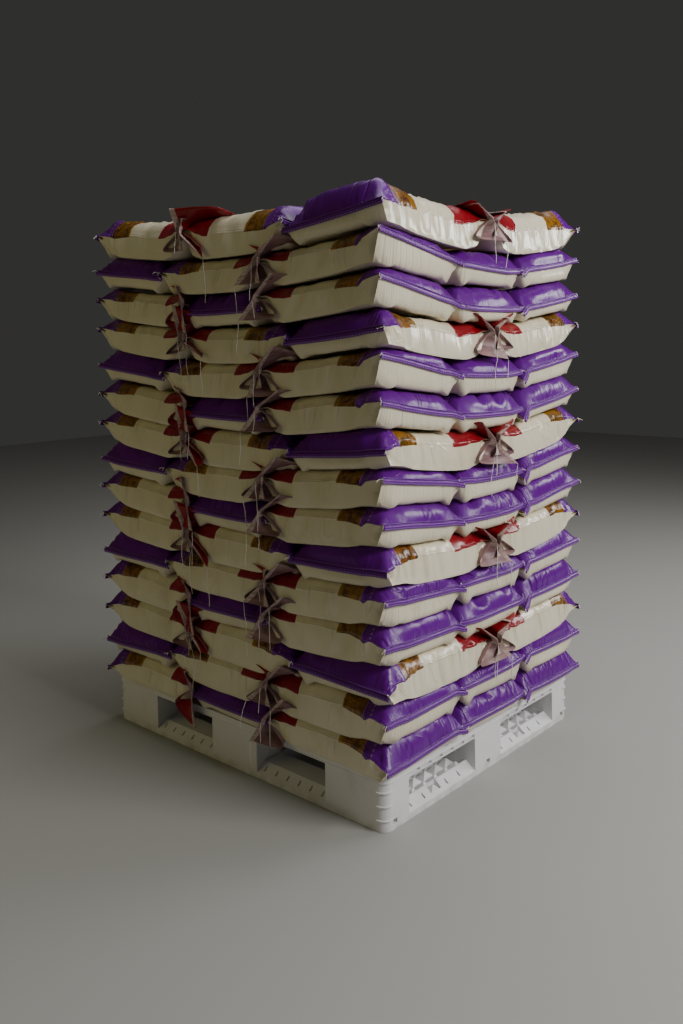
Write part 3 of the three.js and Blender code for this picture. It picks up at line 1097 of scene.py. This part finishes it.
def add_hem(sewing, points, number, outward, random):
    """The sewn end, folded over and hanging down along the seam as a narrow band."""
    seam = points[0, : PANEL_CELLS + 1]
    along = np.gradient(seam, axis=0)
    along /= np.linalg.norm(along, axis=1)[:, None]
    seam = np.concatenate([[seam[0] - along[0] * HEM_PAST_EAR], seam, [seam[-1] + along[-1] * HEM_PAST_EAR]])
    down = np.cross(outward, np.gradient(seam, axis=0))
    down /= np.linalg.norm(down, axis=1)[:, None]
    down *= -np.sign(down[:, 2:])
    profile = [
        (-0.0010, 0.0046, 0.006),
        (0.0030, 0.0042, 0.003),
        (0.0036, 0.0026, 0.001),
        (0.0010, 0.0014, -0.001),
        (0.0008, -0.0010, -0.003),
        (0.0044, -0.0020, -0.005),
        (0.0056, -0.0040, -0.007),
        (0.0052, -0.0126, -0.0155),
        (0.0034, -0.0136, -0.0165),
        (0.0006, -0.0128, -0.0170),
        (0.0002, -0.0020, -0.0180),
    ]
    swell = 1 + 0.2 * np.sin(np.linspace(0, 9, len(seam)) + random.uniform(0, 6))
    rows = [seam + outward * (out * swell)[:, None] - down * up for out, up, _ in profile]
    grid = np.array(rows + [rows[0]])
    quads = sheet_quads(*grid.shape[:2])
    if np.cross(seam[1] - seam[0], down[0]) @ outward > 0:
        quads = quads[:, ::-1]
    u = np.array([film_u for _, _, film_u in profile] + [profile[0][2]])
    v = np.linspace(-HALF_PANEL, HALF_PANEL, grid.shape[1])
    film = np.stack(np.meshgrid(u, v, indexing="ij") + [np.full((len(u), len(v)), number)], axis=-1)
    film = film.reshape(-1, 3)
    sewing.add(grid, quads, film[quads.ravel()], FILM)
    for end in (0, -1):
        ring = grid[:-1, end]
        order = list(range(len(ring)))
        facing = np.cross(ring[7] - ring[1], ring[9] - ring[1]) @ (along[end] * (1 if end else -1))
        if facing < 0:
            order = order[::-1]
        sewing.add(ring, [order], [(-0.006, 0.0, number)] * len(ring), FILM)


# How a slack mouth lies at the stack's side. Each flap's hem is given from the ear: along the
# sack, out of the stack and up; the root is how far back along the sack the upper flap bends.
NECKS = {
    "plain": {"upper": (0.018, 0.005, 0.038), "lower": (0.022, 0.010, -0.055), "root": -0.09},
    "long": {"upper": (-0.065, 0.012, 0.058), "lower": (0.085, 0.014, -0.070), "root": -0.09},
    "short": {"upper": (-0.048, 0.008, 0.030), "lower": (0.030, 0.010, -0.050), "root": -0.13},
    "red fan": {"upper": (0.045, 0.010, 0.084), "lower": (-0.100, 0.012, -0.082), "root": -0.12},
    "mauve fan": {"upper": (-0.072, 0.010, 0.070), "lower": (0.060, 0.014, -0.060), "root": -0.16},
    "red tail": {"upper": (-0.020, 0.008, 0.060), "lower": (0.030, 0.012, -0.100), "root": -0.09},
}
TOP_NECKS = {
    "long": {"upper": (-0.065, 0.012, 0.044)},
    "red fan": {"upper": (0.045, 0.010, 0.070), "root": -0.22},
}
NECK_KNOTS = (0.0, 0.105, 0.115, 0.225, 0.28)
SPLIT_COLUMN = round(0.10 / PANEL * PANEL_CELLS)
NECK_STEPS = 8
NECK_CRUMPLE = 0.0022
NECK_HALF_THICKNESS, TAPE_HALF_THICKNESS = 0.0008, 0.0014
TAPE_WIDTHS = (0.0035, 0.0085)
NECK_COLOURS = {"red fan": ("red", "red"), "mauve fan": ("mauve", "mauve"), "red tail": ("red", "red")}
THREADED_NECKS = ("long", "red fan", "mauve fan")
TAPE_SIZE, THREAD_SIZE = (0.0030, 0.0008), (0.0010, 0.0010)


def neck_plan(place, layer, random):
    """Picks how a sack's slack mouth lies, with a little chance in where its flaps end."""
    kind, on_top = layer % 3, layer == LAYERS - 1
    quarter, face = place["quarter"], place["face"]
    if place["crosswise"]:
        way = "long" if quarter == (1 if face > 0 else 3) else "short"
    elif quarter == (2 if face < 0 else 0):
        way = "red fan" if kind == 2 else "mauve fan"
    else:
        way = "red tail" if kind == 0 else "plain"
    plan = dict(NECKS[way])
    if on_top:
        plan.update(TOP_NECKS.get(way, {}))
    plan["inner"] = (-0.050, 0.055) if on_top else (0.012, 0.042 if quarter in (2, 3) else -0.042)
    plan["colours"] = NECK_COLOURS.get(way, ("red", "mauve"))
    plan["threads"] = 2 if way in THREADED_NECKS else 1
    for part in ("upper", "lower"):
        wobble = random.normal(1, 0.16, 3)
        plan[part] = tuple(value * change for value, change in zip(plan[part], wobble))
    return plan


def neck_course(pinch, side, inward, plan):
    """Where the mouth's sewn end lies, and the points that its film bends by on the way there."""
    up = np.array([0, 0, 1.0])
    run, rise = plan["inner"]
    target = pinch + inward * run + up * rise
    control = pinch + inward * (0.6 * run + 0.006)
    if not side:
        return target, control
    outward = pinch[0] - pinch[-1]
    outward[2] = 0
    outward /= np.linalg.norm(outward)
    a_upper, o_upper, z_upper = plan["upper"]
    a_lower, o_lower, z_lower = plan["lower"]
    hem = [
        inward * a_lower + outward * o_lower + up * z_lower,
        inward * 0.006 + outward * 0.013 - up * 0.004,
        inward * 0.006 + outward * 0.012 + up * 0.004,
        inward * a_upper + outward * o_upper + up * z_upper,
        inward * a_upper * 0.8 - outward * 0.045 + up * min(z_upper, 0.046),
    ]
    bend = [
        inward * -0.115 + outward * 0.006 - up * 0.064,
        inward * -0.030 - outward * 0.090 - up * 0.025,
        inward * -0.030 - outward * 0.090 + up * 0.025,
        inward * plan["root"] + outward * 0.002 + up * 0.060,
        inward * plan["root"] - outward * 0.05 + up * 0.050,
    ]
    from_corner = np.linspace(0, PANEL, len(pinch))
    free = from_corner <= NECK_KNOTS[-1]
    for curve, offsets in ((target, hem), (control, bend)):
        for axis in range(3):
            shaped = pinch[0, axis] + np.interp(from_corner, NECK_KNOTS, [offset[axis] for offset in offsets])
            curve[free, axis] = shaped[free]
    return target, control


def neck_sheet(pinch, side, inward, plan, random):
    """The mouth's film in rows from the filled part to its end, with the way along it to each point."""
    count = len(pinch)
    target, control = neck_course(pinch, side, inward, plan)
    length = np.linalg.norm(target - pinch, axis=1)
    tape_width = np.where(np.arange(count) < SPLIT_COLUMN, *TAPE_WIDTHS)
    shares = np.linspace(0, 1, NECK_STEPS)[:, None] * (1 - tape_width / np.maximum(length, 0.03))[None, :]
    shares = np.concatenate([shares, np.ones((1, count))])[..., None]
    sheet = (1 - shares) ** 3 * pinch + 3 * shares * (1 - shares) * control + shares**3 * target
    crumple = random.normal(0, 1, sheet.shape)
    for axis in (0, 1):
        crumple = (np.roll(crumple, 1, axis) + crumple + np.roll(crumple, -1, axis)) / 3
    sheet[2:-1] += crumple[2:-1] * NECK_CRUMPLE
    return sheet, shares[..., 0] * length


def add_neck(sewing, points, film_length, number, side, inward, plan, random):
    """The slack mouth beyond the filled part: a flattened tube of film, sewn along its end."""
    pinch = points[-1, : PANEL_CELLS + 1]
    if side > 0:
        pinch = pinch[::-1]
    v = HALF_PANEL - np.linspace(0, PANEL, PANEL_CELLS + 1)
    sheet, travel = neck_sheet(pinch, side, inward, plan, random)
    normal = np.cross(np.gradient(sheet, axis=1), np.gradient(sheet, axis=0))
    normal /= np.linalg.norm(normal, axis=2)[..., None] + 1e-9
    thick = np.full(sheet.shape[0], NECK_HALF_THICKNESS)
    thick[-2:] = TAPE_HALF_THICKNESS
    thick = thick[:, None, None]
    u = film_length + travel
    film = np.stack([u, np.tile(v, (NECK_STEPS + 1, 1)), np.full_like(u, number)], axis=-1).reshape(-1, 3)
    quads = sheet_quads(*sheet.shape[:2])
    column = np.tile(np.arange(PANEL_CELLS), NECK_STEPS)
    row = np.repeat(np.arange(NECK_STEPS), PANEL_CELLS)
    front, back = sheet + normal * thick, sheet - normal * thick
    for grid, turn in ((front, -1), (back, 1)):
        lower, upper = column < SPLIT_COLUMN, column >= SPLIT_COLUMN
        for chosen, colour in ((lower, plan["colours"][1]), (upper, plan["colours"][0])):
            body = quads[chosen & (row < NECK_STEPS - 1)][:, ::turn]
            tape = quads[chosen & (row == NECK_STEPS - 1)][:, ::turn]
            sewing.add(grid, body, film[body.ravel()], FILM if colour == "red" else REVERSE)
            sewing.add(grid, tape, film[tape.ravel()], TAPE)
    edges = [np.concatenate([face[:, 0], face[-1, 1:], face[-2::-1, -1]]) for face in (front, back)]
    rim = np.stack(edges)
    rim_quads = sheet_quads(2, rim.shape[1])
    rim_film = np.tile([film_length + 0.1, 0.0, number], (rim_quads.size, 1))
    sewing.add(rim, rim_quads, rim_film, REVERSE)
    return sheet[-1, 0], sheet[-1, SPLIT_COLUMN]


def add_thread(sewing, start, direction, length, random, size, curl=0.0):
    """A loose tail of sewing thread or tape: it leaves in one direction and then hangs."""
    steps = 8
    length = min(length, start[2] - 0.01)
    across = [(math.cos(a), math.sin(a)) for a in (0.8, 2.37, 3.94, 5.5)]
    point, heading = np.array(start, float), np.array(direction, float)
    path = [point.copy()]
    for _ in range(steps):
        heading = heading + np.array([0, 0, -0.55]) * (1 - curl) + random.normal(0, 0.10 + 0.5 * curl, 3)
        heading /= np.linalg.norm(heading)
        point = point + heading * length / steps
        path.append(point.copy())
    path = np.array(path)
    rings = []
    for k, centre in enumerate(path):
        heading = path[min(k + 1, steps)] - path[max(k - 1, 0)]
        heading /= np.linalg.norm(heading)
        side = np.cross(heading, [0.3, 0.9, 0.2])
        side /= np.linalg.norm(side)
        other = np.cross(heading, side)
        rings.append([centre + size[0] * side * a + size[1] * other * b for a, b in across])
    faces = [list(face)[::-1] for face in tube_faces(len(rings), 4)]
    faces += [[0, 1, 2, 3], [4 * steps + i for i in (3, 2, 1, 0)]]
    film = [(0.0, 0.0, 0.0) for face in faces for _ in face]
    sewing.add(np.array(rings), faces, film, THREAD)


def sew_sack(sewing, place, layer, choice, random):
    """Adds one sack to its layer: its body, its hem, its slack mouth and its loose threads."""
    side = place["open_side"]
    mirrored = side == 1 if side else bool(random.random() < 0.5)
    grid = sack_shapes[choice].copy()
    if mirrored:
        grid[..., 1] = -grid[..., 1]
    film_length = sack_kinds[choice]["film"]
    grid = shape_for_place(grid, place, layer, random)
    number = 0.5 * random.random() + (0.5 if place["crosswise"] else 0.0)
    steps = np.arange(LENGTH_CELLS + 1)
    # Little but the printed end shows of a sack between two others, so the rest is coarser
    if not side:
        steps = steps[(steps < 14) | (steps % 3 == 2)]
    points = add_body(sewing, grid[steps], steps, film_length, mirrored, number, place, layer)
    add_ends(sewing, points, film_length, mirrored, number)
    c, s = DIRECTIONS[place["quarter"]]
    inward = np.array([c, s, 0.0])
    add_hem(sewing, points, number, -inward, random)
    place["face"] = -side * s if place["crosswise"] else side * c
    plan = neck_plan(place, layer, random)
    fold_side = side * (-1 if mirrored else 1)
    tip, middle = add_neck(sewing, points, film_length, number, fold_side, inward, plan, random)
    seam = points[0, : PANEL_CELLS + 1]
    for ear, way in ((seam[0], seam[0] - seam[3]), (seam[-1], seam[-1] - seam[-4])):
        way = way / np.linalg.norm(way) - 0.4 * inward
        add_thread(sewing, ear, way, random.uniform(0.010, 0.016), random, TAPE_SIZE, 0.3)
        add_thread(sewing, ear, way, random.uniform(0.012, 0.028), random, THREAD_SIZE, 0.7)
    if side:
        for spot in (tip, middle)[: plan["threads"]]:
            for _ in range(random.integers(0 if plan["threads"] == 1 else 1, 2)):
                length = random.uniform(0.05, 0.14)
                add_thread(sewing, spot, (0, 0, -1), length, random, THREAD_SIZE, 0.04)


def layer_piece(layer, materials):
    """The eight sacks of one layer, sewn into one mesh."""
    random = np.random.default_rng(400 + layer)
    sewing = Sewing()
    places = sack_places(COLUMN_ORDER[layer % 3], random)
    open_kinds = [n for n, kind in enumerate(sack_kinds) if len(kind["pressed_sides"]) == 1]
    closed_kinds = [n for n in range(len(sack_kinds)) if n not in open_kinds]
    picks = {True: list(random.permutation(open_kinds)) * 2}
    picks[False] = list(random.permutation(closed_kinds)) * 4
    for place in places:
        choice = int(picks[bool(place["open_side"])].pop(0))
        sew_sack(sewing, place, layer, choice, random)
    return sewing.piece(f"sacks_{layer + 1:02d}", materials)


# Film finish
# Woven plastic tape laminated under a glossy printed film: a dark plain end with a narrow
# checked band, a mottled golden field, a cream back and sides, and a red mouth.

film = Finish("sack_film")
place = film.node("ShaderNodeAttribute", {"attribute_name": "film"}, output=1)
u = film.node("ShaderNodeSeparateXYZ", values={0: place})
v = Signal(film, u.socket.node.outputs[1])
number = Signal(film, u.socket.node.outputs[2])
edge_v = abs(v)
on_top = edge_v < HALF_PANEL + 0.003


def film_place(scale_u, scale_v, offset):
    """The film's own coordinates, stretched, and shifted from sack to sack."""
    values = {0: u * scale_u, 1: v * scale_v, 2: number * offset}
    return film.node("ShaderNodeCombineXYZ", values=values)


PURPLE = srgb(94, 2, 130)
PALE_LINE = srgb(196, 180, 210)
# Pale lilac of the stitches, also used for the painted highlight along the hem's folded lips
STITCHES_AND_LIP_HIGHLIGHT = srgb(206, 184, 222)
GOLD_LIGHT, GOLD_DARK, GOLD_END = srgb(142, 90, 20), srgb(62, 32, 7), srgb(170, 130, 24)
CREAM, CREAM_WORN = srgb(224, 215, 190), srgb(200, 190, 160)
WHITE_LINE = srgb(232, 222, 214)
RED = srgb(140, 18, 30)
CUT_SHIFT = 0.036


def ping_pong(value, size):
    """A value folded back and forth between 0 and `size`."""
    return film.node("ShaderNodeMath", {"operation": "PINGPONG"}, {0: value, 1: size})


mottle = film.noise(film_place(1.0, 1.0, 40.0), 60.0, 4.0, 0.65, 0.8).rise(0.40, 0.60)
gold = film.mix(mottle, GOLD_DARK, GOLD_LIGHT)
glow = film.noise(film_place(1.0, 1.0, 17.0), 11.0, 2.0).rise(0.35, 0.7)
gold = film.mix(glow * 0.25 + u.rise(0.190, 0.210) * 0.65, gold, GOLD_END)
stains = film.noise(film_place(1.0, 1.0, 23.0), 7.0, 4.0, 0.6).rise(0.45, 0.8)
cream = film.mix(stains * 0.6, CREAM, CREAM_WORN)

small_bars = (ping_pong(v, 0.0055) > 0.0028) * (u > 0.068) * (u < 0.074)
checks = (ping_pong(u, 0.003) > 0.0015) * (ping_pong(v, 0.003) > 0.0015) * (u > 0.078)
printed = film.mix(small_bars * 0.30 + checks * 0.08, PURPLE, PALE_LINE)

# The sacks aren't all cut from the roll at the same place in the print
cut = u + number * CUT_SHIFT
printed = film.mix((cut > 0.1170) * 0.4, printed, PALE_LINE)
for start, colour in ((0.1188, gold), (0.218, cream), (0.397, WHITE_LINE), (0.400, RED)):
    printed = film.mix(cut > start, printed, colour)
base = film.mix(on_top, cream, printed)
stitch_row = (ping_pong(v, 0.0048) > 0.0020) * (u < -0.0110) * (u > -0.0142)
# A pale line along each of the hem's two folded lips is a painted highlight where the folds catch the light;
# the row of stitches on the band is real.
painted_lip_highlights = (u > 0.0012) * (u < 0.0052) + (u < -0.0046) * (u > -0.0066)
base = film.mix((stitch_row * 0.30 + painted_lip_highlights * on_top * 0.07).held(), base, STITCHES_AND_LIP_HIGHLIGHT)

# Gathers along the seam, folds by the gussets, soft swells, sharp small creases and the edges
gathers = film.noise(film_place(0.18, 1.0, 31.0), 150.0, 1.0, 0.5)
gathered = (1 - u.rise(0.0, 0.040)) * (u > -0.001) * (1.3 - number)
folds = film.noise(film_place(1.0, 0.40, 53.0), 17.0, 1.0, 0.45, 0.9)
fold_lines = (1 - abs(folds - 0.5) * 7.0).held().power(1.6)
folded = film.noise(film_place(1.0, 0.8, 61.0), 7.0, 1.0).rise(0.44, 0.62)
folded = folded * (1 - edge_v.rise(HALF_PANEL, HALF_PANEL + GUSSET)) * edge_v.rise(0.165, 0.180)
swells = film.noise(film_place(1.0, 0.7, 71.0), 10.0, 1.0, 0.4, 0.4)
creases = film.noise(film_place(1.0, 0.9, 83.0), 15.0, 1.0, 0.4, 0.8)
crease_lines = (1 - abs(creases - 0.5) * 16.0).held().power(2.0)
creased = film.noise(film_place(1.0, 1.0, 97.0), 5.0, 1.0).rise(0.52, 0.66)
edge_line = (1 - abs(edge_v - HALF_PANEL) * 400.0).held()
edge_line = edge_line + (1 - abs(edge_v - HALF_PANEL + 0.005) * 500.0).held() * 0.7
edge_line = edge_line + (1 - abs(edge_v - HALF_PANEL - GUSSET) * 400.0).held()
weave_place = {"Vector": film_place(1, 1, 0), "Scale": 130.0}
weave_u = film.node("ShaderNodeTexWave", {"bands_direction": "X"}, weave_place)
weave_v = film.node("ShaderNodeTexWave", {"bands_direction": "Y"}, weave_place)
relief = gathers * gathered * 0.0024 + fold_lines * folded * 0.0030 + swells * 0.0032
relief = relief + crease_lines * creased * 0.0010 + edge_line * 0.0009
tucks = film.noise(film_place(0.22, 1.0, 109.0), 26.0, 1.0, 0.5, 0.4)
tuck_lines = (1 - abs(tucks - 0.5) * 9.0).held().power(1.4)
tucked = film.noise(film_place(1.0, 1.0, 127.0), 8.0, 1.0).rise(0.42, 0.58)
tucked = tucked * (u > -0.001) * (1.3 - number)
relief = relief - tuck_lines * tucked * (1 - u.rise(0.035, 0.085)) * (0.0012 + on_top * 0.0024)
bumped = film.bump(relief, 1.0, 1.0)
bumped = film.bump(weave_u * weave_v, 0.00010, 0.5, bumped)
wear = film.noise(film_place(1.0, 1.0, 91.0), 30.0, 4.0, 0.6).rise(0.4, 0.75)
gusset_gloss = edge_v.rise(HALF_PANEL - 0.03, HALF_PANEL) * u.rise(0.03, 0.06)
film.set(
    Base_Color=base,
    Roughness=(0.29 - gusset_gloss * 0.08 + wear * 0.07 + stains * 0.05).held(),
    Normal=bumped,
    Specular_IOR_Level=0.36,
    Coat_Weight=0.10 + gusset_gloss * 0.40,
    Coat_Roughness=0.12,
)

reverse = Finish("film_reverse")
place = reverse.node("ShaderNodeAttribute", {"attribute_name": "film"}, output=1)
ripples = reverse.noise(place, 30.0, 3.0)
reverse_colour = reverse.mix(ripples.rise(0.3, 0.7), srgb(118, 84, 90), srgb(150, 118, 116))
reverse.set(Base_Color=reverse_colour, Roughness=0.45, Normal=reverse.bump(ripples, 0.003, 0.8))

tape = Finish("sewn_edge")
place = tape.node("ShaderNodeAttribute", {"attribute_name": "film"}, output=1)
rows_of_stitches = tape.noise(place, 220.0, 2.0)
tape.set(
    Base_Color=tape.mix(rows_of_stitches.rise(0.35, 0.7), srgb(158, 132, 126), srgb(206, 186, 176)),
    Roughness=0.6,
    Normal=tape.bump(rows_of_stitches, 0.001, 0.7),
)

thread = Finish("sewing_thread")
place = thread.node("ShaderNodeTexCoord", output=3)
twist = thread.noise(place, 900.0, 1.0)
thread.set(
    Base_Color=thread.mix(twist, srgb(222, 216, 206), srgb(246, 243, 238)),
    Roughness=0.8,
    Normal=thread.bump(twist, 0.0006, 0.6),
)

sack_materials = [film.material, reverse.material, tape.material, thread.material]
for layer in range(LAYERS):
    sacks = layer_piece(layer, sack_materials)
    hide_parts(f"sack_layer_{layer + 1:02d}")
    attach(sacks, "root")

# Floor
# A plain pale studio floor, which is no part of the object. It is one wide slab of matt
# grey, and its top lies just under the pallet's foot.

floor = shells_object("studio_floor", [box_shell((-9, -9, -0.05), (9, 9, -0.0005))])
ground = Finish("studio_floor")
ground.set(Base_Color=srgb(168, 167, 164), Roughness=0.75)
floor.data.materials.append(ground.material)

# Light
# A big soft light high on the right lights the ends of the stack, one overhead its top, and
# one behind it on the right gives the film its highlights. The side to the left gets only a
# weak warm fill, which is kept out of the reflections.


def soft_light(name, at, target, size, power, colour):
    """An oblong area light that looks at a point."""
    lamp = bpy.data.lights.new(name, "AREA")
    lamp.shape = "RECTANGLE"
    lamp.size, lamp.size_y = size
    lamp.energy = power
    lamp.color = colour
    light = bpy.data.objects.new(name, lamp)
    bpy.context.scene.collection.objects.link(light)
    light.location = at
    light.rotation_euler = (Vector(target) - Vector(at)).to_track_quat("-Z", "Y").to_euler()
    return light


soft_light("key_right", (4.1, 0.3, 3.0), (0.6, 0, 0.8), (2.4, 1.3), 150, (1.0, 0.985, 0.96))
soft_light("gloss_behind", (2.6, 3.6, 2.4), (0.5, 0.2, 1.0), (2.2, 0.8), 60, (1.0, 1.0, 1.0))
soft_light("overhead", (0.2, 0.8, 4.2), (0, 0, 0.6), (3.0, 3.0), 60, (1.0, 1.0, 1.0))
side_fill = soft_light("fill_left", (-2.8, -3.6, 2.0), (0, -0.3, 0.9), (3.0, 3.0), 21, (1.0, 0.92, 0.36))
side_fill.visible_glossy = False

world = bpy.data.worlds.new("studio")
bpy.context.scene.world = world
world.use_nodes = True
backdrop = world.node_tree.nodes["Background"]
backdrop.inputs["Color"].default_value = (0.60, 0.60, 0.56, 1)
backdrop.inputs["Strength"].default_value = 0.06

# Camera
# The photograph's place and angle, worked out from the corners of the pallet and the stack:
# 3.1 m from the middle of the stack, at chest height, and turned a little down.

CAMERA_AT = (2.106, -2.331, 1.316)
CAMERA_YAW, CAMERA_PITCH, CAMERA_ROLL = -0.7292, -0.0459, -0.0164
CAMERA_LENS = 32.32
CAMERA_SHIFT = -0.1288

level = math.cos(CAMERA_PITCH)
forward = Vector((math.sin(CAMERA_YAW) * level, math.cos(CAMERA_YAW) * level, math.sin(CAMERA_PITCH)))
level_right = Vector((math.cos(CAMERA_YAW), -math.sin(CAMERA_YAW), 0))
level_up = level_right.cross(forward)
right = math.cos(CAMERA_ROLL) * level_right + math.sin(CAMERA_ROLL) * level_up
up = right.cross(forward)
camera_data = bpy.data.cameras.new("camera")
camera_data.lens = CAMERA_LENS
camera_data.shift_y = CAMERA_SHIFT
camera = bpy.data.objects.new("camera", camera_data)
bpy.context.scene.collection.objects.link(camera)
turn = Matrix((right, up, -forward)).transposed()
camera.matrix_world = Matrix.Translation(CAMERA_AT) @ turn.to_4x4()
bpy.context.scene.camera = camera
